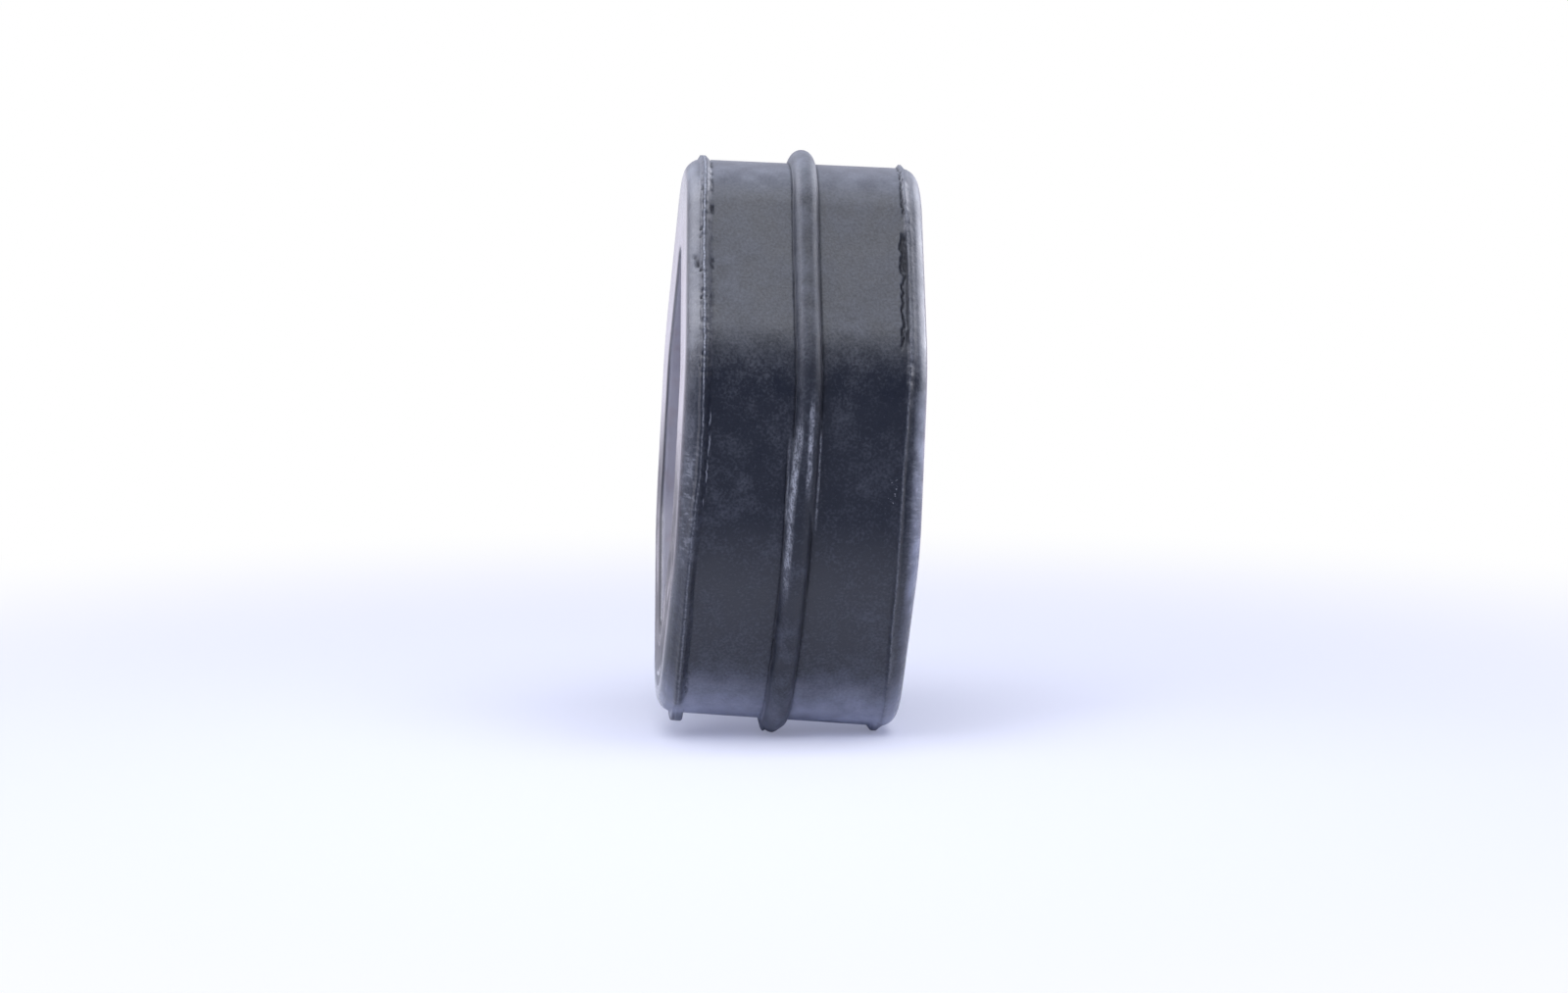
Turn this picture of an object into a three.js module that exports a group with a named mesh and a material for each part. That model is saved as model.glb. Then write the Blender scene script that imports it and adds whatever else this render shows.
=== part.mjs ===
// Exhaust hanger: a thick ring moulded in one piece from solid black rubber.
// One hook of the car body sits in its upper end, one hook of the exhaust pipe in its lower end.
//
// X runs through the ring from face to face, Z is the long way of the ring and Y its depth.
// The origin is the middle of the ring. Every length is in millimetres.

import * as THREE from 'three';

// The ring seen from its face: a hexagon stood on end, all its corners rounded.
const ringHeight = 64.8;
const ringDepth = 37;
const ringThickness = 27.5;
const sideFlatLength = 13;
const sideCornerRadius = 16;
const tipRadius = 9.3;

// The wall is the same all round, so the opening repeats the outline at a smaller size.
const wall = 9;
const openingTipRadius = 1.85;
const openingEdgeRadius = 0.6;
const faceEdgeRadius = 2;

// The half-round bead round the outside, a touch to the left of the middle.
const beadWidth = 2.9;
const beadHeight = 1.6;
const beadX = -0.13;

// The thin flash fins beside the two faces, where the mould's side plates met its body.
const leftFinWidth = 1.2;
const leftFinHeight = 0.9;
const leftFinInset = 2.25;
const rightFinWidth = 1;
const rightFinHeight = 0.5;
const rightFinInset = 2.25;
const finCrestShare = 0.3;

// The mould's upper and lower halves did not close in line. The lower half's bead and left fin
// lie further left, and both runs of a ridge are there side by side where the halves overlap.
const beadMismatch = 0.4;
const leftFinMismatch = 0.3;
const overlapTop = 3.6;
const overlapBottom = -5.4;
const fadeLength = 2.4;

// How finely the round parts are divided.
const tipSteps = 10;
const cornerSteps = 5;
const edgeSteps = 4;
const openingEdgeSteps = 2;
const beadSteps = 8;

// Two places across the thickness that are closer than this are taken as one.
const leastSpacing = 0.08;

const rubber = new THREE.MeshStandardMaterial({ color: 0x16181d, roughness: 0.62, metalness: 0 });

// The slanted sides touch the tip's arc and the side corner's arc. Their outward normal leans
// up by the angle that this common tangent has.
const tipCentreZ = ringHeight / 2 - tipRadius;
const cornerCentreY = ringDepth / 2 - sideCornerRadius;
const cornerCentreZ = sideFlatLength / 2;
const centreDistance = Math.hypot(cornerCentreY, tipCentreZ - cornerCentreZ);
const centreDirection = Math.atan2(tipCentreZ - cornerCentreZ, -cornerCentreY);
const slantLean = centreDirection - Math.acos((sideCornerRadius - tipRadius) / centreDistance);
const slantReach = tipCentreZ * Math.sin(slantLean) + tipRadius;

// A closed outline, anticlockwise from the side at +Y, as places with their outward normals.
// reach is the slanted sides' distance from the middle of the ring, depth the outline's own.
function outline({ depth, reach, tip, corner }) {
  const cornerY = depth / 2 - corner;
  const cornerZ = (reach - corner - cornerY * Math.cos(slantLean)) / Math.sin(slantLean);
  const tipZ = (reach - tip) / Math.sin(slantLean);
  const places = [];

  const addArc = (centreY, centreZ, radius, from, to, steps) => {
    for (let step = 0; step <= steps; step += 1) {
      const angle = from + ((to - from) * step) / steps;
      const normal = new THREE.Vector2(Math.cos(angle), Math.sin(angle));
      const place = new THREE.Vector2(centreY, centreZ).addScaledVector(normal, radius);
      places.push({ place, normal });
    }
  };
  // The side flats carry extra places at the heights where the mould's halves overlap.
  const addSideFlat = (side, downwards) => {
    const shares = flatStations.map((height) => height / cornerCentreZ);
    const ordered = downwards ? shares : shares.toReversed();
    for (const share of ordered) {
      const place = new THREE.Vector2((side * depth) / 2, share * cornerZ);
      places.push({ place, normal: new THREE.Vector2(side, 0) });
    }
  };

  addArc(cornerY, cornerZ, corner, 0, slantLean, cornerSteps);
  addArc(0, tipZ, tip, slantLean, Math.PI - slantLean, tipSteps);
  addArc(-cornerY, cornerZ, corner, Math.PI - slantLean, Math.PI, cornerSteps);
  addSideFlat(-1, true);
  addArc(-cornerY, -cornerZ, corner, Math.PI, Math.PI + slantLean, cornerSteps);
  addArc(0, -tipZ, tip, Math.PI + slantLean, 2 * Math.PI - slantLean, tipSteps);
  addArc(cornerY, -cornerZ, corner, 2 * Math.PI - slantLean, 2 * Math.PI, cornerSteps);
  addSideFlat(1, false);
  return places;
}

// Heights on the side flat, from the top down: the lower half's ridges fade in at the top of
// the overlap, and the upper half's ridges fade out at its foot.
const flatStations = [
  overlapTop,
  overlapTop - fadeLength / 2,
  overlapTop - fadeLength,
  overlapBottom + fadeLength,
  overlapBottom + fadeLength / 2,
  overlapBottom,
];

const outside = outline({
  depth: ringDepth,
  reach: slantReach,
  tip: tipRadius,
  corner: sideCornerRadius,
});
const opening = outline({
  depth: ringDepth - 2 * wall,
  reach: slantReach - wall,
  tip: openingTipRadius,
  corner: Math.max(sideCornerRadius - wall, openingEdgeRadius),
});

// How far a half of the mould reaches at a height: 1 where it shapes the rubber, 0 past it.
const upperShare = (z) => THREE.MathUtils.smoothstep(z, overlapBottom, overlapBottom + fadeLength);
const lowerShare = (z) => 1 - THREE.MathUtils.smoothstep(z, overlapTop - fadeLength, overlapTop);

// The two cross sections of a ridge, over -1 to 1 of its half width: a half round, and a fin
// with straight flanks and a narrow crest.
const halfRound = (u) => Math.sqrt(Math.max(0, 1 - u * u));
const fin = (u) => THREE.MathUtils.clamp((1 - Math.abs(u)) / (1 - finCrestShare), 0, 1);
const halfRoundPlaces = Array.from({ length: beadSteps + 1 }, (_, step) => {
  return -Math.cos((Math.PI * step) / beadSteps);
});
const finPlaces = [-1, -finCrestShare, finCrestShare, 1];

const halfThickness = ringThickness / 2;
const leftFinX = -halfThickness + leftFinInset;
const rightFinX = halfThickness - rightFinInset;
const bead = { width: beadWidth, height: beadHeight, form: halfRound, places: halfRoundPlaces };
const leftFin = { width: leftFinWidth, height: leftFinHeight, form: fin, places: finPlaces };
const rightFin = { width: rightFinWidth, height: rightFinHeight, form: fin, places: finPlaces };
const ridges = [
  { ...bead, x: beadX, share: upperShare },
  { ...bead, x: beadX - beadMismatch, share: lowerShare },
  { ...leftFin, x: leftFinX, share: upperShare },
  { ...leftFin, x: leftFinX - leftFinMismatch, share: lowerShare },
  { ...rightFin, x: rightFinX, share: () => 1 },
];

// The panel between the rounded edges, without its ridges: level, and then down the edge's arc.
function panelLevel(x) {
  const past = Math.abs(x) - (halfThickness - faceEdgeRadius);
  if (past <= 0) {
    return 0;
  }
  return Math.sqrt(Math.max(0, faceEdgeRadius ** 2 - past ** 2)) - faceEdgeRadius;
}

// The ring's outside surface over the panel's level, at a place across the thickness.
function outsideLevel(x, z) {
  let proud = 0;
  for (const ridge of ridges) {
    const u = (x - ridge.x) / (ridge.width / 2);
    if (Math.abs(u) < 1) {
      proud = Math.max(proud, ridge.height * ridge.form(u) * ridge.share(z));
    }
  }
  return panelLevel(x) + proud;
}

// All places across the outside, from the left face to the right: both edges' arcs and every
// corner of every ridge.
function placesAcross() {
  const places = [];
  for (let step = 0; step <= edgeSteps; step += 1) {
    const along = faceEdgeRadius * (1 - Math.cos((Math.PI / 2) * (step / edgeSteps)));
    places.push(-halfThickness + along, halfThickness - along);
  }
  for (const ridge of ridges) {
    places.push(...ridge.places.map((u) => ridge.x + (u * ridge.width) / 2));
  }
  places.sort((a, b) => a - b);
  return places.filter((x, index) => index === 0 || x - places[index - 1] > leastSpacing);
}

// The opening's wall from the right face back to the left, with its own small rounded edges.
function openingSection() {
  const section = [];
  for (const side of [1, -1]) {
    for (let step = 0; step <= openingEdgeSteps; step += 1) {
      const turn = side > 0 ? step : openingEdgeSteps - step;
      const angle = (Math.PI / 2) * (turn / openingEdgeSteps);
      const x = side * (halfThickness - openingEdgeRadius * (1 - Math.cos(angle)));
      section.push({ x, inwards: openingEdgeRadius * (1 - Math.sin(angle)) });
    }
  }
  return section;
}

// Sweeps the ring's section round its outline. The first station follows the last one, so the
// skin closes on itself both ways.
function ringGeometry() {
  const across = placesAcross();
  const innerSection = openingSection();
  const positions = [];
  const addPoint = (x, { place, normal }, offset) => {
    const point = place.clone().addScaledVector(normal, offset);
    positions.push(x, point.x, point.y);
  };

  outside.forEach((outer, station) => {
    for (const x of across) {
      addPoint(x, outer, outsideLevel(x, outer.place.y));
    }
    for (const { x, inwards } of innerSection) {
      addPoint(x, opening[station], inwards);
    }
  });

  const rowLength = across.length + innerSection.length;
  const index = [];
  for (let station = 0; station < outside.length; station += 1) {
    const row = station * rowLength;
    const nextRow = ((station + 1) % outside.length) * rowLength;
    for (let column = 0; column < rowLength; column += 1) {
      const next = (column + 1) % rowLength;
      index.push(row + column, nextRow + next, row + next);
      index.push(row + column, nextRow + column, nextRow + next);
    }
  }

  const geometry = new THREE.BufferGeometry();
  geometry.setAttribute('position', new THREE.Float32BufferAttribute(positions, 3));
  geometry.setIndex(index);
  geometry.computeVertexNormals();
  return geometry;
}

const hangerRing = new THREE.Mesh(ringGeometry(), rubber);
hangerRing.name = 'hanger_ring';

const hanger = new THREE.Group();
hanger.add(hangerRing);

export default hanger;
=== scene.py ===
# %% [markdown]
# # A rubber exhaust hanger
# The object is one thick ring of moulded rubber. A hook of the car body sits in the upper end
# of its opening and a hook of the exhaust pipe in the lower end, so the ring takes up the
# pipe's shake. The packed model holds its true sizes, and this lesson dresses it: first the
# plain ring, then the marks that the mould left on it, then the rubber itself, and at last the
# floor, the light and the camera.

# %% Load the frame
import math

import bpy
import numpy as np
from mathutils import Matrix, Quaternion, Vector


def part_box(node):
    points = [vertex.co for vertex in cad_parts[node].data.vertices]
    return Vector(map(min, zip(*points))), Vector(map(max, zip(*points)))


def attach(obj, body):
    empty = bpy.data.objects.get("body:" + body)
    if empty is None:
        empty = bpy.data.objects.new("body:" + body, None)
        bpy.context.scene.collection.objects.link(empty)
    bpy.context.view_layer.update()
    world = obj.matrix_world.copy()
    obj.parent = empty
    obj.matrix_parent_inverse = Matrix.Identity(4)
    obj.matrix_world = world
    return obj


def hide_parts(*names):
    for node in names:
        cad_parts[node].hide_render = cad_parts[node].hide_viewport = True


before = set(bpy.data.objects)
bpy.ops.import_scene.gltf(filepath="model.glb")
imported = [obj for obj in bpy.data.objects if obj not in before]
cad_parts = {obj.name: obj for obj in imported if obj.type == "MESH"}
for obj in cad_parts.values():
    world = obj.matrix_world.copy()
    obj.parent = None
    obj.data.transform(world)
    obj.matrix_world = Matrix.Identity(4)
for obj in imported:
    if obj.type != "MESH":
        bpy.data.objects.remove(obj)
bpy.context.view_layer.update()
MM = 0.001
low, high = (Vector(corner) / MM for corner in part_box("hanger_ring"))
print("CAD box in mm:", [round(v, 2) for v in low], [round(v, 2) for v in high])

# %% [markdown]
# ## The plain ring
# Seen from its face the ring is a hexagon stood on end with all its corners rounded. Arcs and
# the straight lines that touch them give that outline exactly, so it is worked out here as
# stations with an outward direction each. A bevelled cylinder could stand in for it, but it
# would have neither the slanted sides nor the even wall.

# %% Sizes of the ring, in millimetres
bead_height = 1.6
thickness = high.x - low.x
ring_height = high.z - low.z - 2 * bead_height
ring_depth = high.y - low.y - 2 * bead_height
side_flat = 6.5
corner_radius = 16.0
tip_radius = 9.3
wall = 9.0
opening_tip_radius = 1.85
opening_edge = 0.6
face_edge = 2.0
print(f"ring {thickness:.1f} x {ring_depth:.1f} x {ring_height:.1f} mm")

# %% The slanted sides
# They touch the tip's arc and the side corner's arc, and their outward direction leans up by
# the angle of that common tangent.
tip_z = ring_height / 2 - tip_radius
corner_y = ring_depth / 2 - corner_radius
corner_to_tip = math.hypot(corner_y, tip_z - side_flat)
lean = math.atan2(tip_z - side_flat, -corner_y) - math.acos(
    (corner_radius - tip_radius) / corner_to_tip
)
reach = tip_z * math.sin(lean) + tip_radius
print(f"slants lean {math.degrees(lean):.1f} degrees, {reach:.2f} mm from the middle")


# %% Walk round an outline
station_spacing = 0.3


def outline(depth, slant_reach, tip, corner, counts):
    """Places and outward normals round the closed outline, as rows of y, z, ny, nz."""
    cy = depth / 2 - corner
    cz = (slant_reach - corner - cy * math.cos(lean)) / math.sin(lean)
    tz = (slant_reach - tip) / math.sin(lean)
    arcs = [
        (cy, cz, corner, 0, lean),
        (0, tz, tip, lean, math.pi - lean),
        (-cy, cz, corner, math.pi - lean, math.pi),
        (-cy, -cz, corner, math.pi, math.pi + lean),
        (0, -tz, tip, math.pi + lean, 2 * math.pi - lean),
        (cy, -cz, corner, 2 * math.pi - lean, 2 * math.pi),
    ]
    rows = []
    for number, (y, z, radius, start, stop) in enumerate(arcs):
        arc_count, straight_count = counts[number % 3]
        angles = np.linspace(start, stop, arc_count, endpoint=False)
        ny, nz = np.cos(angles), np.sin(angles)
        rows.append(np.stack([y + radius * ny, z + radius * nz, ny, nz], 1))
        last = Vector((y + radius * math.cos(stop), z + radius * math.sin(stop)))
        y2, z2, radius2, start2, _ = arcs[(number + 1) % len(arcs)]
        first = Vector((y2 + radius2 * math.cos(start2), z2 + radius2 * math.sin(start2)))
        share = np.linspace(0, 1, straight_count, endpoint=False)[:, None]
        straight = np.array(last) + share * (np.array(first) - np.array(last))
        normal = np.tile([math.cos(stop), math.sin(stop)], (len(share), 1))
        rows.append(np.hstack([straight, normal]))
    return np.concatenate(rows)


def steps(length):
    """How many stations a stretch of this length gets."""
    return max(2, round(length / station_spacing))


slant_length = (tip_z - side_flat) / math.cos(lean)
counts = [
    (steps(corner_radius * lean), steps(slant_length)),
    (steps(tip_radius * (math.pi - 2 * lean)), steps(slant_length)),
    (steps(corner_radius * lean), steps(2 * side_flat)),
]
outside = outline(ring_depth, reach, tip_radius, corner_radius, counts)
opening = outline(
    ring_depth - 2 * wall, reach - wall, opening_tip_radius, corner_radius - wall, counts
)
gaps = np.linalg.norm(np.roll(outside[:, :2], -1, 0) - outside[:, :2], axis=1)
along = np.concatenate([[0], np.cumsum(gaps)[:-1]])
print(f"{len(outside)} stations round {gaps.sum():.1f} mm of outline")

# %% [markdown]
# ## Where the ridges run
# The real ring has a bead round its middle and a thin fin of flash beside each face, and a
# hand-fitted mould leaves no such ridge quite straight. A drawn curve could carry each ridge.
# A table is easier to correct against the real object, one height at a time: it gives a
# ridge's place across the ring at a few heights, and the stations between follow.

# %% Lines of the ridges: height, then place across, in millimetres
lines = {
    "left crest": [
        (-34, -11.6), (-28, -11.9), (-20, -12.05), (-14, -12.2), (-9, -12.15), (-6, -11.95),
        (-2, -11.65), (3, -11.6), (9, -11.8), (18, -11.88), (24, -11.95), (29, -11.85),
        (34, -11.5),
    ],
    "left foot": [
        (-34, -10.9), (-28, -11.04), (-20, -11.05), (-14, -11.35), (-10, -11.15), (-4, -10.8),
        (2, -10.55), (8, -10.8), (18, -10.93), (28, -11.0), (34, -10.85),
    ],
    "right crest": [
        (-34, 11.8), (-26, 11.75), (-19, 11.35), (-10, 11.1), (-2, 11.15), (4, 11.35),
        (12, 11.6), (20, 11.75), (26, 11.65), (30, 11.5), (34, 11.8),
    ],
    "bead above": [
        (-8, 0.05), (-2, 0.15), (4, 0.2), (8, 0.2), (12, 0.06), (16, -0.03), (23, -0.1),
        (29, -0.08), (34, 0.0),
    ],
    "bead below": [
        (-34, -0.45), (-29, -0.4), (-24, -0.28), (-10, -0.36), (-1, -0.38), (6, -0.4),
    ],
}
heights = outside[:, 1]
runs = {name: np.interp(heights, *np.array(places).T) for name, places in lines.items()}
for name, run in runs.items():
    print(f"{name}: {run.min():.2f} to {run.max():.2f} mm")

# %% [markdown]
# ## One section, swept round
# At each station the skin runs over the outside from the left face to the right, down the
# right face, back through the opening and up the left face. The same section is repeated at
# every station and joined to the next, and the last to the first, so the skin is closed both
# ways. A curve with a bevel profile could sweep it too, but a mesh made from numbers lets the
# points lie closer together where the mould's ridges will rise.

# %% Places across the outside
# Each stretch has its start, stop and spacing: fine where a ridge rises, wide on the panels.
half = thickness / 2
flat = half - face_edge
EDGE_POINTS = 9
stretches = [
    (-12.4, -10.5, 0.08), (-10.5, -2.3, 0.55), (-2.3, 2.0, 0.11), (2.0, 9.9, 0.55),
    (9.9, flat, 0.1),
]


def spread(start, stop, spacing):
    """Evenly spaced places from start up to, but not with, stop."""
    return np.linspace(start, stop, max(2, round((stop - start) / spacing)), endpoint=False)


edge_turn = np.linspace(0, math.pi / 2, EDGE_POINTS)[:-1]
left_edge = -half + face_edge * (1 - np.cos(edge_turn))
across = np.concatenate(
    [left_edge[:-1], *(spread(*stretch) for stretch in stretches), -left_edge[::-1]]
)
past = np.clip(np.abs(across) - flat, 0, face_edge)
level = np.sqrt(face_edge**2 - past**2) - face_edge
print(f"{len(across)} places across the outside")

# %% Places down the faces and through the opening
FACE_POINTS, OPENING_EDGE_POINTS, WALL_POINTS = 8, 5, 12
face_share = np.linspace(0, 1, FACE_POINTS)[1:-1]
inner_turn = np.linspace(0, math.pi / 2, OPENING_EDGE_POINTS)
inner_x = half - opening_edge * (1 - np.cos(inner_turn))
inner_set = opening_edge * (1 - np.sin(inner_turn))
inner_share = np.linspace(0, 1, len(inner_turn))
wall_x = np.linspace(inner_x[-1], -inner_x[-1], WALL_POINTS)[1:-1]
print(f"{len(face_share)} places down a face, {len(wall_x)} through the opening")

# %% What each point of the skin belongs to
# Whole numbers name a part of the section, and the values between them lead from one to the
# next: 0 is the outside, 1 to 2 goes down a face, 2 to 3 round the opening's edge.
ON_OUTSIDE, ON_FACE, ON_OPENING_EDGE, IN_OPENING = range(4)


def section_bands():
    """The bands of the section at all stations: points and what each point belongs to."""
    count = len(outside)
    place, normal = outside[:, None, :2], outside[:, None, 2:]
    in_place, in_normal = opening[:, None, :2], opening[:, None, 2:]

    def band(x, flat_places, skin):
        rows = np.empty((count, len(x), 3))
        rows[:, :, 0] = x
        rows[:, :, 1:] = flat_places
        return rows, np.full((count, len(x)), skin)

    over = place + normal * level[None, :, None]
    edge_out = over[:, -1:]
    rim = in_place + in_normal * inner_set[None, :, None]
    face = edge_out + (rim[:, :1] - edge_out) * face_share[None, :, None]
    through = np.repeat(in_place, len(wall_x), 1)
    face_x = np.full(len(face_share), half)
    return [
        band(across, over, ON_OUTSIDE),
        band(face_x, face, ON_FACE + face_share),
        band(inner_x, rim, ON_OPENING_EDGE + inner_share),
        band(wall_x, through, IN_OPENING),
        band(-inner_x[::-1], rim[:, ::-1], ON_OPENING_EDGE + inner_share[::-1]),
        band(-face_x, face[:, ::-1], ON_FACE + face_share[::-1]),
    ]


bands = section_bands()
points = np.concatenate([rows for rows, _ in bands], 1)
skin_kinds = np.concatenate([kinds for _, kinds in bands], 1)
print(f"{points.shape[1]} places round one section")


# %% Join the stations to a closed skin
def store(mesh, name, kind, values):
    """Keeps one value a point on the mesh under this name."""
    field = "vector" if kind == "FLOAT_VECTOR" else "value"
    mesh.attributes.new(name, kind, "POINT").data.foreach_set(field, values)


def ring_skin():
    """The plain ring, with where each point lies across and along it kept as attributes."""
    count, width = points.shape[:2]
    here = np.arange(count)[:, None] * width + np.arange(width)[None, :]
    there = np.roll(here, -1, 0)
    faces = np.stack(
        [here, there, np.roll(there, -1, 1), np.roll(here, -1, 1)], 2
    ).reshape(-1, 4)

    mesh = bpy.data.meshes.new("ring_skin")
    mesh.from_pydata((points.reshape(-1, 3) * MM).tolist(), [], faces.tolist())
    store(mesh, "along", "FLOAT", np.repeat(along, width))
    store(mesh, "skin", "FLOAT", skin_kinds.ravel())
    for name, run in runs.items():
        store(mesh, name, "FLOAT", np.repeat(run, width))
    out = np.zeros((count, width, 3))
    out[:, :, 1:] = outside[:, None, 2:]
    store(mesh, "outward", "FLOAT_VECTOR", out.ravel())
    mesh.polygons.foreach_set("use_smooth", np.ones(len(faces), bool))
    return mesh


hanger = bpy.data.objects.new("rubber_ring", ring_skin())
bpy.context.collection.objects.link(hanger)
print(len(hanger.data.polygons), "faces in the plain ring")

# %% [markdown]
# ## Formulas as nodes
# The mould's marks are rules: how far the skin stands proud depends only on where a point lies
# across and along the ring. Nodes can hold such a rule, one Math node for each sign in the
# formula, but placed by hand they are hard to read. This small class writes those nodes, in a
# Geometry Nodes tree and in a material alike, so that a rule reads as a formula.


# %% Feed an input
def feed(tree, value, socket):
    """Links a field or a socket to this input, or sets a plain number or colour on it."""
    value = getattr(value, "socket", value)
    if isinstance(value, bpy.types.NodeSocket):
        tree.links.new(value, socket)
    elif isinstance(value, tuple):
        socket.default_value = (*value, 1)
    else:
        socket.default_value = value


print("an input takes a field, a socket, a number or a colour")


# %% A field that can be added and multiplied
class Field:
    """A value at every point, held by a node's output socket."""

    def __init__(self, tree, socket):
        self.tree = tree
        self.socket = socket

    def math(self, operation, *others):
        node = self.tree.nodes.new("ShaderNodeMath")
        node.operation = operation
        for slot, value in enumerate((self, *others)):
            feed(self.tree, value, node.inputs[slot])
        return Field(self.tree, node.outputs[0])

    def __add__(self, other):
        return self.math("ADD", other)

    def __sub__(self, other):
        return self.math("SUBTRACT", other)

    def __mul__(self, other):
        return self.math("MULTIPLY", other)

    def __truediv__(self, other):
        return self.math("DIVIDE", other)

    def size(self):
        return self.math("ABSOLUTE")

    def most(self, other):
        return self.math("MAXIMUM", other)

    def least(self, other):
        return self.math("MINIMUM", other)

    def ramp(self, start, stop, low=0.0, high=1.0):
        """A soft step from low to high as this value goes from start to stop."""
        node = self.tree.nodes.new("ShaderNodeMapRange")
        node.interpolation_type = "SMOOTHSTEP"
        names = ("Value", "From Min", "From Max", "To Min", "To Max")
        for name, value in zip(names, (self, start, stop, low, high)):
            feed(self.tree, value, node.inputs[name])
        return Field(self.tree, node.outputs["Result"])

    def near(self, centre, width):
        """1 at centre, falling softly to 0 at half the width on either side."""
        return (self - centre).size().ramp(width / 2, 0.0)

    def zone(self, centre, width):
        """Like near, but 1 over a good part of the width."""
        return self.near(centre, width).ramp(0.0, 0.5)

    def line(self, centre, edge, core):
        """1 within core of centre, falling softly to 0 at edge."""
        return (self - centre).size().ramp(edge, core)

    def within(self, start, full_from, full_to, stop):
        """1 between the two inner values, falling softly to 0 at the two outer ones."""
        return self.ramp(start, full_from) * self.ramp(stop, full_to)


def largest(first, *others):
    """The largest of several fields at each point."""
    for other in others:
        first = first.most(other)
    return first


print("fields know:", ", ".join(name for name in vars(Field) if name[0] != "_"))


# %% Places and noise as fields
def parts(tree, socket):
    """The three parts of a vector, as fields by axis."""
    node = tree.nodes.new("ShaderNodeSeparateXYZ")
    tree.links.new(socket, node.inputs[0])
    return {axis: Field(tree, node.outputs[axis]) for axis in "XYZ"}


def vector(tree, **axes):
    """The socket of a vector put together from the parts that are given."""
    node = tree.nodes.new("ShaderNodeCombineXYZ")
    for axis, value in axes.items():
        feed(tree, value, node.inputs[axis])
    return node.outputs[0]


def noise_at(tree, place, detail):
    """Noise from 0 to 1 at this place."""
    node = tree.nodes.new("ShaderNodeTexNoise")
    node.inputs["Scale"].default_value = 1.0
    node.inputs["Detail"].default_value = detail
    tree.links.new(place, node.inputs["Vector"])
    return Field(tree, node.outputs["Fac"])


def blend(tree, start, stop, share):
    """The colour start turned towards stop by the share."""
    node = tree.nodes.new("ShaderNodeMix")
    node.data_type = "RGBA"
    for slot, value in ((0, share), (6, start), (7, stop)):
        feed(tree, value, node.inputs[slot])
    return node.outputs[2]


print("places, noise and colours can be fields too")

# %% [markdown]
# ## The marks of the mould
# The ring was pressed between two mould halves and two side plates, and each joint of the
# mould left its mark. A half-round bead runs round the middle, with a fine crease on each side,
# and a thin fin of flash lies beside each face. The halves did not close in line: the lower
# half's bead and left fin lie further left, and at the sides both runs are there together.
# Sculpting or a painted bump could show this. A Geometry Nodes tree gives real geometry, keeps
# each height as an input that can be changed later, and follows the ring wherever it goes.

# %% Start the tree and name its inputs, in millimetres
sizes = {
    "Bead Width": 2.9, "Bead Height": bead_height, "Left Fin Height": 0.8, "Band Height": 0.3,
    "Right Fin Width": 0.8, "Right Fin Height": 0.5, "Overlap Top": 3.6, "Overlap Foot": -8.6,
    "Fade": 5.0, "Crease Depth": 0.12, "Tear Depth": 0.3, "Widening": 0.009,
    "Foot Lean": -0.038,
}
tree = bpy.data.node_groups.new("mould marks", "GeometryNodeTree")


def tree_socket(name, in_out, kind, value=None):
    """A named input or output of the tree, with its default if it has one."""
    socket = tree.interface.new_socket(name, in_out=in_out, socket_type=kind)
    if value is not None:
        socket.default_value = value


tree_socket("Geometry", "INPUT", "NodeSocketGeometry")
for name, value in sizes.items():
    tree_socket(name, "INPUT", "NodeSocketFloat", value)
tree_socket("Seed", "INPUT", "NodeSocketInt", 7)
tree_socket("Rubber", "INPUT", "NodeSocketMaterial")
tree_socket("Geometry", "OUTPUT", "NodeSocketGeometry")
entry = tree.nodes.new("NodeGroupInput")
leave = tree.nodes.new("NodeGroupOutput")
given = {name: Field(tree, entry.outputs[name]) for name in (*sizes, "Seed")}
print(len(given), "named numbers go into the tree")


# %% Where a point lies
def attribute(name, kind="FLOAT"):
    """The field of a value that the mesh carries under this name."""
    node = tree.nodes.new("GeometryNodeInputNamedAttribute")
    node.data_type = kind
    node.inputs["Name"].default_value = name
    return Field(tree, node.outputs["Attribute"])


position = parts(tree, tree.nodes.new("GeometryNodeInputPosition").outputs[0])
x, y, z = (position[axis] / MM for axis in "XYZ")
near_side = y.math("LESS_THAN", 0.0)
run_length = attribute("along")
outward = attribute("outward", "FLOAT_VECTOR")
outward_z = parts(tree, outward.socket)["Z"]
skin_kind = attribute("skin")
on_outside = skin_kind.math("LESS_THAN", 0.5)
print(len(tree.nodes), "nodes say where a point lies")

# %% Noise along the ring
SEED_STEP = 3.7


def noise(x_scale, along_scale, detail, shift):
    """Noise from 0 to 1, stretched by its own scale across and along the ring."""
    lane = given["Seed"] * SEED_STEP + shift
    place = vector(tree, X=x * x_scale, Y=run_length * along_scale, Z=lane)
    return noise_at(tree, place, detail)


def wander(along_scale, detail, shift, width):
    """A line's swing to either side as it runs along the ring, over this width in all."""
    return (noise(0.0, along_scale, detail, shift) - 0.5) * width


ragged = noise(0.0, 1.6, 5.0, 9.0)
print(len(tree.nodes), "nodes with the first noise")

# %% The bead, in its two runs
overlap_top, overlap_foot, fade = (given[n] for n in ("Overlap Top", "Overlap Foot", "Fade"))
upper = z.ramp(overlap_foot, overlap_foot + fade)
lower = z.ramp(overlap_top - fade, overlap_top, 1.0, 0.0)
waver = wander(0.5, 4.0, 1.0, 0.12)
CREASE_PLACE, CREASE_WIDTH = 1.03, 0.22


def bead(line, share):
    """The half-round bead and its creases, one run of it. u is 1 at the bead's edge."""
    u = (x - line - waver) / (given["Bead Width"] * 0.5)
    round_part = (u * u * -1 + 1).most(0.0).math("SQRT")
    crease = u.size().near(CREASE_PLACE, CREASE_WIDTH) * share
    return round_part * given["Bead Height"] * share, crease


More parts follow.
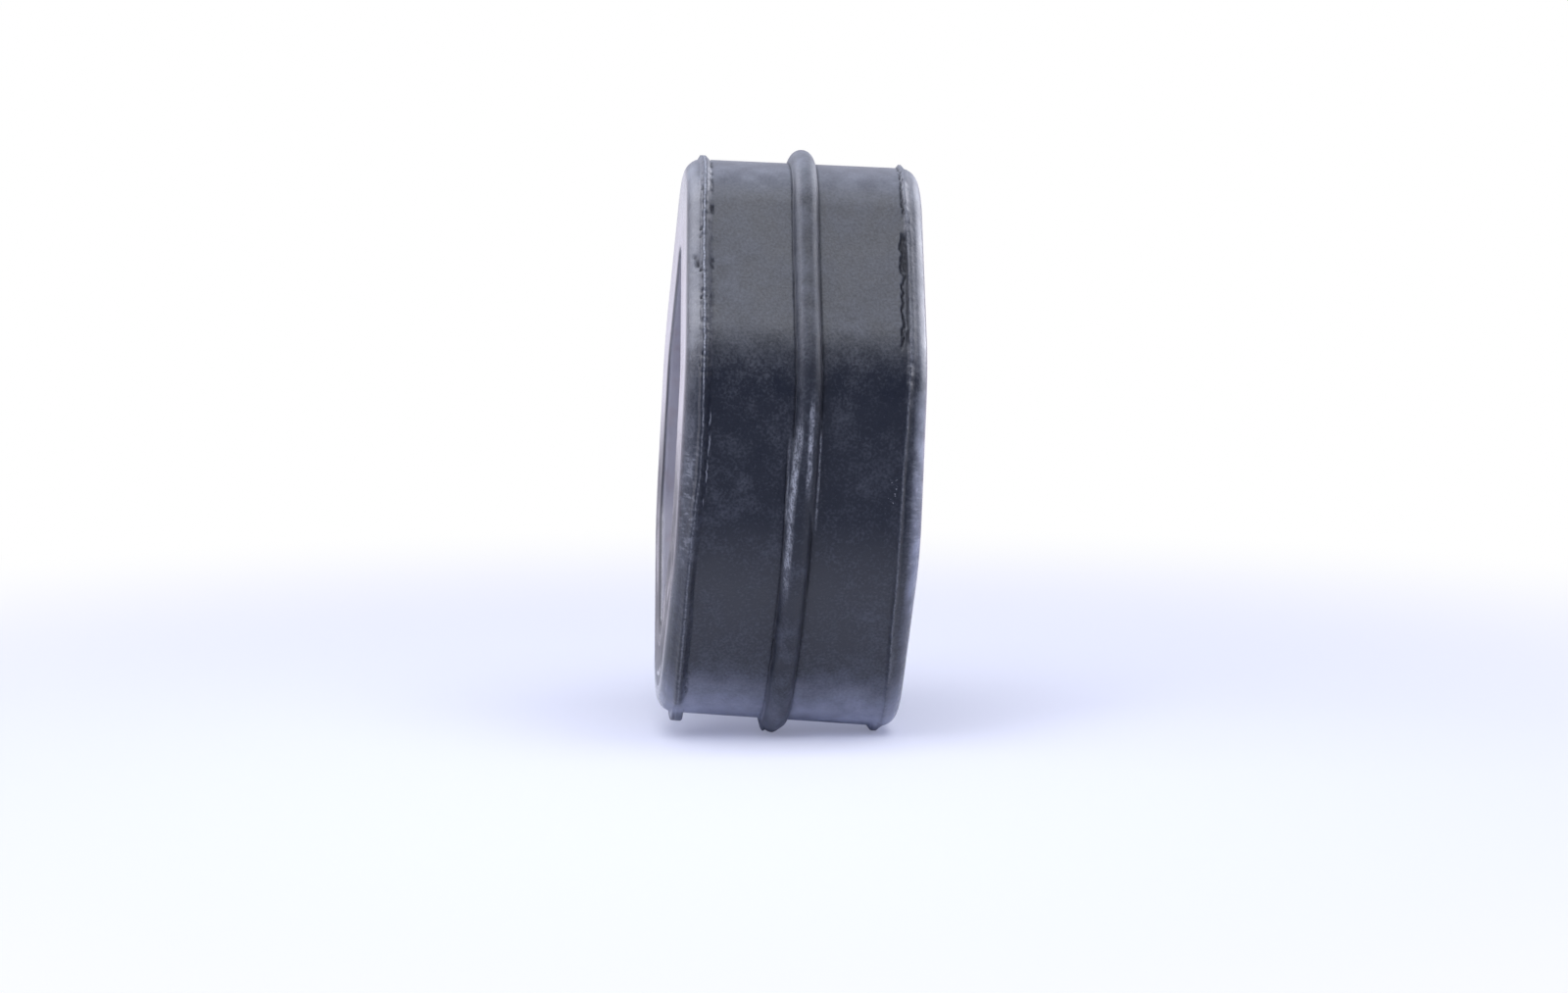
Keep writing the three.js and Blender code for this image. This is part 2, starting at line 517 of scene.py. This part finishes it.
upper_run, lower_run = attribute("bead above"), attribute("bead below")
bead_up, crease_up = bead(upper_run, upper)
bead_low, crease_low = bead(lower_run, lower)
bead_level = bead_up.most(bead_low)
crease = crease_up.most(crease_low) * bead_level.ramp(0.0, 0.3, 1.0, 0.0)
print(len(tree.nodes), "nodes with the bead")

# %% The left fin
# A band beside it stands a little proud. From there it rises shortly to its crest and falls
# over a longer way to its foot.
BAND_START, BAND_FULL = 1.6, 0.3
RISE_START, RISE_LENGTH, STEEPNESS = 0.55, 0.4, 1.5
fin_waver = wander(0.8, 5.0, 5.0, 0.3)
crest_at = attribute("left crest") + fin_waver
foot_at = attribute("left foot") + wander(1.7, 5.0, 21.0, 0.5)
rise_side = (x - crest_at + RISE_START) / RISE_LENGTH
fall_side = (foot_at - x) / (foot_at - crest_at)
form = (rise_side.least(fall_side) * STEEPNESS).most(0.0).least(1.0)
band = x.ramp(crest_at - BAND_START, crest_at - BAND_FULL) * fall_side.most(0.0).least(1.0)
band = band * z.ramp(32.4, 29.5, 0.1, 1.0)
crest_height = given["Left Fin Height"] - given["Band Height"]
left_fin = form * ragged.ramp(0.3, 0.6, 0.6, 1.0) * crest_height
left_fin = (left_fin + band * given["Band Height"]) * z.ramp(-31.4, -29.4)
print(len(tree.nodes), "nodes with the left fin")

# %% The right fin, narrow, low and uneven
right_at = attribute("right crest") + fin_waver * 0.5
right_u = (x - right_at).size() / (given["Right Fin Width"] * 0.5)
right_form = (right_u * -1 + 1).most(0.0)
right_fin = right_form * ragged.ramp(0.3, 0.6, 0.5, 1.0) * given["Right Fin Height"]
print(len(tree.nodes), "nodes with the right fin")

# %% The torn strip beside the right fin
# The fin's foot is torn along the upper slant of one side: a crack, and right of it a ragged
# strip that is open in its upper part and crumbled at its ends. Each range of heights starts
# softly between its first two values and ends softly between its last two.
TORN, OPEN, UNDERCUT = (12.4, 13.6, 24.8, 25.6), (20.4, 21.4, 24.8, 25.4), (13.0, 14.0, 24.0, 24.8)
CRUMBLED_BELOW, CRUMBLED_ABOVE = (12.8, 13.8, 15.0, 17.5), (27.0, 27.6, 28.8, 29.6)
CRACKED_ABOVE = (27.0, 27.6, 32.2, 33.2)
tear_line = right_at - 0.9 + wander(0.7, 6.0, 17.0, 2.0) + z.ramp(24.0, 25.4) * 0.5
strip = x.within(tear_line, tear_line + 0.12, right_at - 0.25, right_at - 0.12)
crack = x.line(tear_line, 0.17, 0.03)
crumbs = noise(3.4, 1.5, 4.0, 37.0)
crumbled = z.within(*CRUMBLED_BELOW).most(z.within(*CRUMBLED_ABOVE))
upper_line = x.line(right_at - 0.35 - wander(1.3, 6.0, 23.0, 1.3), 0.14, 0.03)
foot_line = x.line(right_at - 0.32, 0.13, 0.03)
tear = near_side * largest(
    strip * z.within(*OPEN) * crumbs.ramp(0.62, 0.46, 0.35, 0.85),
    crack * z.within(*TORN),
    upper_line * z.within(*CRACKED_ABOVE) * 0.8,
    strip * crumbled * crumbs.ramp(0.5, 0.38) * 0.7,
    strip * z.within(*TORN) * 0.2,
    foot_line * z.within(*UNDERCUT) * 0.75,
)
rough_strip = strip * crumbs.ramp(0.46, 0.6) * crumbled * near_side
print(len(tree.nodes), "nodes with the tear")

# %% Pits along the left fin, the largest halfway up the slant
crest_pits = x.line(crest_at - 0.3, 0.24, 0.08) * noise(0.9, 1.9, 4.0, 13.0).ramp(0.57, 0.66)
nibbles = x.line(crest_at - 0.25, 0.22, 0.05) * ragged.ramp(0.48, 0.4) * z.near(16.5, 9.0)
BIG_PIT_Z = 21.2
big_pit = x.line((z - BIG_PIT_Z) * -0.25 - 12.62, 0.24, 0.08)
big_pit = big_pit * z.zone(BIG_PIT_Z, 1.8)
pits = (crest_pits.most(nibbles) * z.ramp(2.0, 8.0)).most(big_pit * near_side)
foot_pits = x.line(foot_at, 0.28, 0.05) * noise(0.5, 1.3, 5.0, 43.0).ramp(0.5, 0.62)
foot_pits = foot_pits * z.ramp(14.0, 20.0).most(z.ramp(-25.0, -27.0))
print(len(tree.nodes), "nodes with the pits")

# %% The lowest point: the fins end in short stubs, and the bead in a small burr
lowest = z.ramp(-31.3, -32.1)
LEFT_STUB_HEIGHT, RIGHT_STUB_HEIGHT = 0.98, 0.6
left_stub = x.within(-12.2, -12.08, -10.92, -10.8) * LEFT_STUB_HEIGHT
right_stub = x.within(10.4, 11.0, 11.4, 12.0) * RIGHT_STUB_HEIGHT
burr = x.within(-2.1, -1.95, -1.6, -1.2) * z.ramp(-31.9, -32.3) * near_side
worn_side = x.ramp(-0.6, 1.2) * z.ramp(-31.2, -32.3) * near_side
bead_level = bead_level * (worn_side * -0.5 + 1)
print(len(tree.nodes), "nodes with the stubs")

# %% How far the skin stands proud, in millimetres
BURR_HEIGHT, CRUMB_HEIGHT = 0.5, 0.2
PIT_DEPTH, FOOT_PIT_DEPTH = 0.4, 0.2
proud = bead_level + left_fin.most(right_fin).most(left_stub.most(right_stub) * lowest)
proud = proud + burr * BURR_HEIGHT - crease * given["Crease Depth"]
proud = proud - tear * given["Tear Depth"] - pits * PIT_DEPTH
proud = proud - foot_pits * FOOT_PIT_DEPTH + rough_strip * CRUMB_HEIGHT
proud = proud * on_outside
print(len(tree.nodes), "nodes with the whole relief")

# %% [markdown]
# ## Dust, scuffs and painted light
# Pale dust lies on what faces up and on what stood on the ground, and the edges are rubbed
# where the ring was handled. The same pale amounts also paint a sheen on what faces up, the
# white floor's light on the foot and highlights on the rounded edges. The fins' crests get
# painted highlights, and the creases, the tear and the pits get painted shade. The mould's
# misfit at the sides caught the most scuffs. A picture painted on the ring could hold them, but
# it would have to be kept with the model. The tree knows where each mark lies, so it writes the
# amounts as attributes for the material to read.

# %% Where dust and painted light lie
# What faces up gets dust and a painted sheen, and the foot gets dust and the white floor's light
# painted on.
rise = outward_z.ramp(0.3, 1.0)
slanted_up = outward_z.ramp(0.1, 0.5) * x.ramp(9.0, -9.0, 0.045, 0.06)
low_down = z.ramp(-21.0, -34.5) * proud.ramp(0.6, 0.1, 0.6, 1.0)
on_right = x.ramp(-1.0, 1.0)
# Rubbed edges, with a painted highlight laid over them that is strongest on the right edge.
wear_and_highlight_share = x.ramp(-1.0, 1.0, 0.085, 0.2) * z.ramp(-6.0, 10.0, 0.2, 1.0).most(on_right)
wear_and_highlight_share = wear_and_highlight_share + z.zone(-5.0, 34.0) * x.ramp(-1.0, 1.0, 0.04, 0.42)
patchy = noise(0.5, 0.35, 4.0, 51.0).ramp(0.3, 0.7, 0.6, 1.4)
upper_face_part = z.ramp(-8.0, 8.0) * skin_kind.math("LESS_THAN", 2.0) * 0.7
worn_and_highlit_edges = x.size().ramp(11.9, 13.3) * wear_and_highlight_share * patchy * on_outside.most(upper_face_part)
dust_and_painted_light = rise * rise * 0.38 + slanted_up
dust_and_painted_light = dust_and_painted_light + low_down * low_down * x.ramp(-9.0, 9.0, 1.0, 1.15)
dust_and_painted_light = dust_and_painted_light + z.ramp(-14.0, -20.0) * 0.012 + worn_and_highlit_edges
print(len(tree.nodes), "nodes with the dust")


# %% Where the skin is scuffed, and where highlights are painted
# Two streaks run down the bead and a fine line on each of its sides where the mould's halves
# overlap. The rounded edges at the same height are rubbed and also get a painted highlight, the
# left fin's foot has bright nicks that are partly a painted highlight, and the fins' crests get
# painted highlights.
def streak(line, width, middle, length):
    """A scuff along a line across the ring, round a middle height."""
    return x.line(line, width, width * 0.2) * z.zone(middle, length)


streaks = streak(lower_run - z.ramp(6.0, -8.0, 0.3, 1.05), 0.55, -5.0, 27.0).most(
    streak(upper_run + 0.3, 0.42, 1.5, 15.0) * z.ramp(-9.0, 0.0, 0.4, 0.9)
)
side_lines = streak(upper_run + 1.55, 0.2, -1.5, 16.0).most(
    streak(lower_run - 1.4, 0.14, -3.0, 13.0) * 0.8
)
# At mid height the rounded edges are rippled and rubbed, and a painted highlight lies over the
# whole zone.
ripples_and_edge_highlight = (x.near(-12.7, 2.6) * z.zone(-5.0, 21.0)).most(x.near(12.9, 2.4) * z.zone(-5.5, 23.0))
# Bright nicks at the left fin's foot, partly a painted highlight on that edge.
nicks_and_highlight = x.line(foot_at - 0.15, 0.12, 0.04) * z.near(0.0, 14.0).ramp(0.0, 0.3)
specks = x.zone(10.0, 3.2) * z.zone(-3.8, 6.0)
# Painted highlights along the fins' crests, brightest on the left crest's upper part.
left_crest_highlight = x.line(crest_at, 0.14, 0.03) * ragged.ramp(0.3, 0.5, 0.3, 1.0)
left_crest_highlight = left_crest_highlight * z.ramp(2.0, 14.0, 0.45, 1.2)
crest_highlights = left_crest_highlight.most(x.line(right_at, 0.14, 0.04) * 0.35)
print(len(tree.nodes), "nodes with the scuffs")

# %% Keep the amounts on the mesh
# They are stored before the points move, while x, y and z are still those of the plain ring.
# The gap amount is painted shade: it darkens the creases, the tear and the pits.
gap_shade_share = (crease * 0.45 + tear * 0.9 + pits * 0.8 + foot_pits * 0.5).least(1.0)
kept = {
    "gap_shade": gap_shade_share * on_outside,
    "dust_with_painted_light": dust_and_painted_light,
    "streaks": streaks * on_outside,
    "side lines": side_lines * on_outside,
    "ripples_and_edge_highlight": ripples_and_edge_highlight * on_outside,
    "nicks_and_highlight": nicks_and_highlight * on_outside,
    "specks": specks * on_outside,
    "crest_highlights": crest_highlights * on_outside,
}
geometry = entry.outputs["Geometry"]
for name, field in kept.items():
    node = tree.nodes.new("GeometryNodeStoreNamedAttribute")
    node.data_type = "FLOAT"
    node.domain = "POINT"
    node.inputs["Name"].default_value = name
    tree.links.new(geometry, node.inputs["Geometry"])
    tree.links.new(field.socket, node.inputs["Value"])
    geometry = node.outputs["Geometry"]
print("kept on the mesh:", ", ".join(kept))


# %% Move the skin
# First every point moves outward by what the marks ask. Then the used ring settles: it is a
# touch thicker towards its foot, and the foot leans.
def moved(geometry, offset):
    """The geometry with each of its points moved by the offset."""
    node = tree.nodes.new("GeometryNodeSetPosition")
    tree.links.new(geometry, node.inputs["Geometry"])
    tree.links.new(offset, node.inputs["Offset"])
    return node.outputs["Geometry"]


shift = tree.nodes.new("ShaderNodeVectorMath")
shift.operation = "SCALE"
tree.links.new(outward.socket, shift.inputs[0])
feed(tree, proud * MM, shift.inputs["Scale"])
geometry = moved(geometry, shift.outputs[0])
widened = x * z * given["Widening"] * (-1 / half * MM)
foot_lean = z.ramp(-12.0, -30.0) * (x * given["Foot Lean"] + 0.06) * MM
geometry = moved(geometry, vector(tree, X=widened, Z=foot_lean))
realize = tree.nodes.new("GeometryNodeRealizeInstances")
finish = tree.nodes.new("GeometryNodeSetMaterial")
tree.links.new(geometry, realize.inputs["Geometry"])
tree.links.new(realize.outputs["Geometry"], finish.inputs["Geometry"])
tree.links.new(entry.outputs["Rubber"], finish.inputs["Material"])
tree.links.new(finish.outputs["Geometry"], leave.inputs["Geometry"])
print(len(tree.nodes), "nodes in the finished tree")

# %% [markdown]
# ## Black rubber
# The rubber is nearly black with a bluish cast. Its skin is fine-grained and satin, the flat
# faces shine a little more, and dust, rubbed edges and old dirt lie on top. One dark colour
# with a roughness would look like new plastic. So the dark base is layered: dust together with
# painted light first, then the pale film in the opening, partly painted light, rust, dirt, scuffs
# with painted highlights, and painted shade in the gaps.

# %% Start the material
rubber = bpy.data.materials.new("moulded_rubber")
rubber.use_nodes = True
paint = rubber.node_tree
skin_shader = paint.nodes["Principled BSDF"]
object_place = paint.nodes.new("ShaderNodeTexCoord").outputs["Object"]
in_mm = {axis: field / MM for axis, field in parts(paint, object_place).items()}
height = in_mm["Z"]
print("started", rubber.name)


# %% Noise and painted amounts
def material_noise(scale, detail, stretch=(1, 1, 1)):
    """Noise from 0 to 1 whose grain is about 1/scale millimetres, stretched along an axis."""
    mapping = paint.nodes.new("ShaderNodeMapping")
    mapping.inputs["Scale"].default_value = [scale * s / MM for s in stretch]
    paint.links.new(object_place, mapping.inputs["Vector"])
    return noise_at(paint, mapping.outputs[0], detail)


def painted(name):
    """A value that the mould's tree left on the mesh."""
    node = paint.nodes.new("ShaderNodeAttribute")
    node.attribute_name = name
    return Field(paint, node.outputs["Fac"])


mottle = material_noise(0.16, 6.0)
clouds = material_noise(0.45, 5.0)
grain = material_noise(3.2, 3.0)
brushed = material_noise(1.4, 4.0, (1.0, 1.0, 0.25))
rippled = material_noise(2.4, 3.0, (0.35, 0.35, 1.0)).ramp(0.48, 0.62)
nicked = material_noise(3.4, 3.0, (1.0, 1.0, 0.22)).ramp(0.5, 0.57)
speckled = material_noise(5.0, 3.0, (1.0, 1.0, 0.6)).ramp(0.34, 0.62, 0.25, 1.0)
broken = material_noise(1.3, 4.0, (1.0, 1.0, 0.5)).ramp(0.36, 0.6, 0.3, 1.0)
print(len(paint.nodes), "nodes with the noises")

# %% Which part of the ring a point is on
skin = painted("skin")
inside = skin.ramp(2.4, 2.9)
from_middle = in_mm["X"].size()
on_faces = from_middle.ramp(13.1, 13.65) * skin.ramp(2.9, 2.4)
on_bead = from_middle.ramp(2.0, 1.2)
print(len(paint.nodes), "nodes with the parts of the ring")

# %% Dust with painted light, dirt and rust
# On the faces and in the opening dirt was dragged along the ring, in lines.
dust_with_painted_light = painted("dust_with_painted_light") * clouds.ramp(0.3, 0.7, 0.85, 1.15)
bloom = mottle.ramp(0.35, 0.7) * clouds.ramp(0.35, 0.65) * 0.03
fine = (grain - 0.5) * 0.24 + (clouds - 0.5) * (on_bead * 0.1 + 0.1) + (mottle - 0.5) * 0.06
lined_place = vector(paint, X=skin * 5.5, Y=in_mm["Y"] * 0.1, Z=height * 0.1)
lined = noise_at(paint, lined_place, 3.0).ramp(0.38, 0.5)
face_dirt = on_faces * skin.ramp(0.4, 1.1) * height.ramp(8.0, -6.0) * lined
dirt = face_dirt.most(inside * brushed.ramp(0.4, 0.65) * 0.5)
rust = inside * material_noise(0.5, 3.0).ramp(0.52, 0.68)
# Painted shade in the creases, the tear and the pits.
gap_shade = painted("gap_shade")
print(len(paint.nodes), "nodes with dust, dirt and rust")

# %% Scuffs and painted highlights
scuff_and_highlight = largest(
    painted("streaks") * speckled * broken * 0.85,
    painted("side lines") * speckled * broken,
    painted("ripples_and_edge_highlight") * (rippled * 0.34 + 0.1) * broken,
    painted("nicks_and_highlight") * nicked * 0.7,
    painted("specks") * material_noise(3.6, 2.0).ramp(0.66, 0.72) * 0.7,
    painted("crest_highlights") * speckled * 0.9,
)
print(len(paint.nodes), "nodes with the scuffs")

# %% Lay the colours over each other
BLACK_RUBBER = (0.0045, 0.0075, 0.018)
# The lower dust colour is bluer, a painted reflection of the bluish floor; the upper one also
# colours the painted sheen.
UPPER_DUST_AND_SHEEN, LOWER_DUST_AND_FLOOR_REFLECTION = (0.32, 0.34, 0.395), (0.30, 0.32, 0.43)
# The pale film in the opening is partly painted light, standing in for light that enters the
# opening.
PALE_FILM_AND_PAINTED_LIGHT, RUST, DIRT = (0.38, 0.365, 0.425), (0.28, 0.2, 0.18), (0.02, 0.02, 0.03)
# The darkest colour is painted shade in the creases, the tear and the pits.
# The scuff colour also paints the highlights on crests, nicks and rounded edges.
SCUFF_AND_HIGHLIGHT, GAP_SHADE = (0.50, 0.52, 0.60), (0.003, 0.004, 0.008)

dust_and_light_colour = blend(paint, UPPER_DUST_AND_SHEEN, LOWER_DUST_AND_FLOOR_REFLECTION, height.ramp(14.0, -14.0))
colour = BLACK_RUBBER
for layer, share in (
    (dust_and_light_colour, (dust_with_painted_light + bloom + fine).most(0.0).least(1.0)),
    (PALE_FILM_AND_PAINTED_LIGHT, inside * brushed.ramp(0.3, 0.7, 0.7, 1.0)),
    (RUST, rust * 0.2),
    (DIRT, dirt * 0.4),
    (SCUFF_AND_HIGHLIGHT, scuff_and_highlight * 0.55),
    (GAP_SHADE, gap_shade),
):
    colour = blend(paint, colour, layer, share)
paint.links.new(colour, skin_shader.inputs["Base Color"])
print(len(paint.nodes), "nodes with the colours")

# %% Shine and fine relief
# The coat is the sheen of the flat faces' upper half. The bump is only the rubber's grain:
# every form that can be felt is real geometry.
rough = mottle.ramp(0.3, 0.7, 0.38, 0.46) + clouds.ramp(0.35, 0.65, 0.0, 0.07) + grain * 0.05
rough = rough + on_bead * 0.1 - on_faces * 0.27 + dirt * 0.2 + scuff_and_highlight * 0.15 + gap_shade * 0.45
feed(paint, rough, skin_shader.inputs["Roughness"])
skin_shader.inputs["Specular IOR Level"].default_value = 0.58
feed(paint, on_faces * height.ramp(-8.0, 6.0), skin_shader.inputs["Coat Weight"])
skin_shader.inputs["Coat Roughness"].default_value = 0.16
bump = paint.nodes.new("ShaderNodeBump")
bump.inputs["Strength"].default_value = 0.45
bump.inputs["Distance"].default_value = 0.06 * MM
relief = (grain + clouds * 1.4 + brushed * 0.5) * (on_faces * -0.75 + 1)
feed(paint, relief, bump.inputs["Height"])
paint.links.new(bump.outputs[0], skin_shader.inputs["Normal"])
print(len(paint.nodes), "nodes paint the rubber")

# %% [markdown]
# ## From rules to a plain mesh
# The finished ring is one moulded piece, so it becomes one plain mesh. The modifier could stay
# live, but a plain mesh is what rides on the part's body, and it can't change afterwards. Each
# input is set by its socket's identifier before the tree first runs.

# %% Run the tree and keep its result
modifier = hanger.modifiers.new("mould marks", "NODES")
modifier.node_group = tree
for item in tree.interface.items_tree:
    if item.in_out == "INPUT" and item.socket_type == "NodeSocketMaterial":
        modifier[item.identifier] = rubber
    elif item.in_out == "INPUT" and item.socket_type != "NodeSocketGeometry":
        modifier[item.identifier] = item.default_value
evaluated = hanger.evaluated_get(bpy.context.evaluated_depsgraph_get())
marked = bpy.data.meshes.new_from_object(evaluated)
hanger.modifiers.remove(modifier)
hanger.data = marked
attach(hanger, "root")
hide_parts("hanger_ring")
print(len(marked.polygons), "faces after the marks")

# %% [markdown]
# ## The floor
# The ring stands on a white sheet that runs out into a white background, with a soft shadow at
# its foot. A curved studio backdrop could be modelled. Here the floor glows for the camera's
# rays alone, more the farther it lies from the ring, so the shadow stays and no light is added
# to the ring. What the ring mirrors is set apart: white behind it, darker in front.

# %% A sheet under the ring
# It tilts with the camera's roll, so it lies level in the picture.
FLOOR_SIDE, FLOOR_BACK, FLOOR_FRONT = 1.5, 1.5, -0.3
camera_roll = 0.0477
floor_drop = low.z * MM
corners = [
    (px, py, floor_drop + px * math.tan(camera_roll))
    for px, py in (
        (-FLOOR_SIDE, FLOOR_FRONT), (FLOOR_SIDE, FLOOR_FRONT),
        (FLOOR_SIDE, FLOOR_BACK), (-FLOOR_SIDE, FLOOR_BACK),
    )
]
floor_mesh = bpy.data.meshes.new("floor")
floor_mesh.from_pydata(corners, [], [(0, 1, 2, 3)])
floor = bpy.data.objects.new("floor", floor_mesh)
bpy.context.collection.objects.link(floor)
print("floor at", round(floor_drop / MM, 2), "mm")


# %% Shaders as steps
def lit(tree, kind, **inputs):
    """The output of a shader node of this kind, with its inputs fed by name."""
    node = tree.nodes.new(kind)
    for name, value in inputs.items():
        feed(tree, value, node.inputs[name])
    return node.outputs[0]


def turned(tree, share, first, second):
    """The first shader turned towards the second by the share."""
    node = tree.nodes.new("ShaderNodeMixShader")
    for slot, value in enumerate((share, first, second)):
        feed(tree, value, node.inputs[slot])
    return node.outputs[0]


def ray_kinds(tree):
    """What kind of ray meets the surface, as fields by name."""
    node = tree.nodes.new("ShaderNodeLightPath")
    return {kind: Field(tree, node.outputs[f"Is {kind} Ray"])
            for kind in ("Camera", "Diffuse", "Glossy")}


print("shaders can be blended like colours")

# %% The floor's material
floor_material = bpy.data.materials.new("white_floor")
floor_material.use_nodes = True
ground = floor_material.node_tree
ground.nodes.clear()
floor_place = ground.nodes.new("ShaderNodeTexCoord").outputs["Object"]
length = ground.nodes.new("ShaderNodeVectorMath")
length.operation = "LENGTH"
ground.links.new(floor_place, length.inputs[0])
away = Field(ground, length.outputs["Value"]).ramp(0.03, 0.2, 0.27, 1.0)
ray = ray_kinds(ground)
floor_y = parts(ground, floor_place)["Y"]

glow = lit(ground, "ShaderNodeEmission",
           Color=blend(ground, (0.6, 0.65, 1.0), (1.0, 1.0, 1.0), away))
cloth = lit(ground, "ShaderNodeBsdfDiffuse", Color=(0.92, 0.93, 1.0))
mirrored_white = lit(ground, "ShaderNodeEmission", Color=(0.87, 0.84, 1.0))
mirrored_shade = lit(ground, "ShaderNodeEmission", Color=(0.1, 0.12, 0.2))
surface = turned(ground, away * ray["Camera"], cloth, glow)
behind = floor_y.ramp(0.01, 0.12) * ray["Glossy"]
surface = turned(ground, behind, surface, mirrored_white)
in_front = floor_y.ramp(-0.02, -0.09, 0.0, 0.55) * ray["Glossy"]
surface = turned(ground, in_front, surface, mirrored_shade)
out = ground.nodes.new("ShaderNodeOutputMaterial")
ground.links.new(surface, out.inputs["Surface"])
floor_mesh.materials.append(floor_material)
print(len(ground.nodes), "nodes in the floor")

# %% [markdown]
# ## The room
# The photograph has a pure white background, yet the ring's shadows are deep, so the room round
# the camera was dark. A single white world would flatten the rubber. The world therefore
# answers each kind of ray by itself: white for the camera, a room that is bright behind the
# ring and dark in front for reflections, and a dim bluish light for soft shading.

# %% The world
scene = bpy.context.scene
world = bpy.data.worlds.new("studio")
scene.world = world
world.use_nodes = True
sky = world.node_tree
way = parts(sky, sky.nodes.new("ShaderNodeTexCoord").outputs["Generated"])["Y"]
ray = ray_kinds(sky)
room = sky.nodes["Background"]
room.inputs["Strength"].default_value = 1.0
room_colour = blend(sky, (0.06, 0.07, 0.11), (0.88, 0.87, 1.0), way.ramp(-0.35, 0.5))
sky.links.new(room_colour, room.inputs["Color"])
dim = lit(sky, "ShaderNodeBackground",
          Color=(0.66, 0.72, 1.0), Strength=way.ramp(0.0, -0.6, 0.3, 0.62))
white = lit(sky, "ShaderNodeBackground", Color=(1.0, 1.0, 1.0))
surface = turned(sky, ray["Diffuse"], room.outputs[0], dim)
surface = turned(sky, ray["Camera"], surface, white)
sky.links.new(surface, sky.nodes["World Output"].inputs["Surface"])
print(len(sky.nodes), "nodes in the world")

# %% [markdown]
# ## Lamps
# Large softboxes light such a product: one above and a little in front, and one on each side
# that draws a bright line down the rounded edges. Point lamps would leave hard spots. The two
# side boxes are seen only by the rubber's shine and the two fills only by its colour, so each
# job is set by itself.


# %% Softboxes
def softbox(name, place, width, height, brightness, tint):
    """A soft area lamp that faces the ring. Brightness is that of its surface, 1 being white."""
    lamp = bpy.data.lights.new(name, "AREA")
    lamp.shape = "RECTANGLE"
    lamp.color = tint
    lamp.size = width
    lamp.size_y = height
    lamp.energy = brightness * math.pi * width * height
    holder = bpy.data.objects.new(name, lamp)
    holder.location = place
    holder.rotation_euler = (-Vector(place)).to_track_quat("-Z", "Y").to_euler()
    bpy.context.collection.objects.link(holder)
    return holder


softbox("top_softbox", (0.0, -0.165, 0.41), 0.5, 0.3, 3.5, (0.97, 0.98, 1.0))
for fill in (
    softbox("fill_softbox", (-0.08, -0.34, 0.46), 0.6, 0.36, 1.1, (0.93, 0.95, 1.0)),
    softbox("low_softbox", (-0.4, -0.16, 0.2), 0.5, 0.3, 1.7, (0.91, 0.93, 1.0)),
):
    fill.visible_glossy = False
for side in (
    softbox("left_softbox", (-0.45, 0.09, 0.31), 0.44, 0.36, 8.0, (0.9, 0.91, 1.0)),
    softbox("right_softbox", (0.46, 0.16, 0.23), 0.44, 0.36, 9.5, (0.9, 0.91, 1.0)),
):
    side.visible_diffuse = False
scene.view_settings.view_transform = "Standard"

# %% [markdown]
# ## The camera
# The photograph looks at the ring's edge from about half a metre, a little from the left and
# above, and the ring leans a little in the picture. The camera could be set by eye. It was
# fitted to the edges that the photograph shows instead, because a ring seen edge-on changes
# much with a small turn. Angles are in radians, and the distance in metres.

# %% Place the camera
camera_distance = 0.4655
camera_rise = 0.0989
camera_left = 0.1039
picture_width, picture_height = 1600, 1013
pixels_per_mm = 8.777
ring_pixel = (804.1, 452.1)

camera_data = bpy.data.cameras.new("camera")
camera_data.sensor_width = 36
focal_pixels = pixels_per_mm * camera_distance / MM
camera_data.lens = focal_pixels / picture_width * camera_data.sensor_width
camera_data.clip_start = 0.01
camera = bpy.data.objects.new("camera", camera_data)
bpy.context.collection.objects.link(camera)
scene.camera = camera
back_way = Vector((
    -math.sin(camera_left) * math.cos(camera_rise),
    -math.cos(camera_left) * math.cos(camera_rise),
    math.sin(camera_rise),
))
turn = (-back_way).to_track_quat("-Z", "Y") @ Quaternion((0, 0, 1), camera_roll)
to_right = math.atan((ring_pixel[0] - picture_width / 2) / focal_pixels)
upwards = math.atan((picture_height / 2 - ring_pixel[1]) / focal_pixels)
turn = turn @ Quaternion((0, 1, 0), to_right) @ Quaternion((1, 0, 0), -upwards)
camera.location = back_way * camera_distance
camera.rotation_mode = "QUATERNION"
camera.rotation_quaternion = turn
print("lens", round(camera_data.lens, 1), "mm")

# %% [markdown]
# ## Finish
# The dressed part has to stay as large as the packed one. The packed part's box is printed where
# the frame is loaded.

# %% Finish
print("the scene is set")
